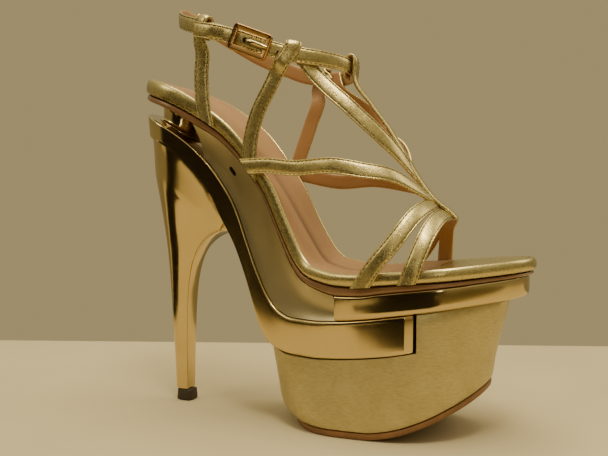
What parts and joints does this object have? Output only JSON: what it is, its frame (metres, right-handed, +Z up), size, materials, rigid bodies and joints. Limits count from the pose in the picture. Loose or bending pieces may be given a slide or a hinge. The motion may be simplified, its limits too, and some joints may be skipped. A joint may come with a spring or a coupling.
{
  "type": "platform stiletto sandal",
  "caption": "Gold strappy platform sandal for the right foot, with a very high mirror stiletto heel, a cut-away arch shell and a buckled ankle strap.",
  "frame": {"origin": "on the floor in the middle of the heel tip", "axes": "+X from the heel to the toe, +Y to the inner (medial) side of the right foot, +Z up"},
  "size_m": [0.2118, 0.0827, 0.2202],
  "materials": {
    "satin_gold_leather": "satin metallic gold leather",
    "gold_strap_leather": "crackled metallic gold leather",
    "mirror_gold": "mirror-bright gold plating",
    "nude_leather": "smooth nude lining leather",
    "brown_leather": "brown sole leather",
    "tan_sole": "brown-pink sole layer",
    "dark_rubber": "matt dark top piece",
    "copper_gold": "polished copper-gold"
  },
  "bodies": {
    "root": {"platform": "satin_gold_leather", "outsole": "brown_leather", "heel": "mirror_gold", "heel_tip": "dark_rubber", "bridge": "mirror_gold", "spool": "mirror_gold", "arch_shell": "mirror_gold", "toe_rail": "mirror_gold", "sole_cover": "tan_sole", "insole": "satin_gold_leather", "sock": "nude_leather", "upper": "gold_strap_leather", "heel_strap": "gold_strap_leather", "ankle_strap": "gold_strap_leather", "buckle_frame": "copper_gold", "buckle_prong": "copper_gold"}
  },
  "joints": []
}
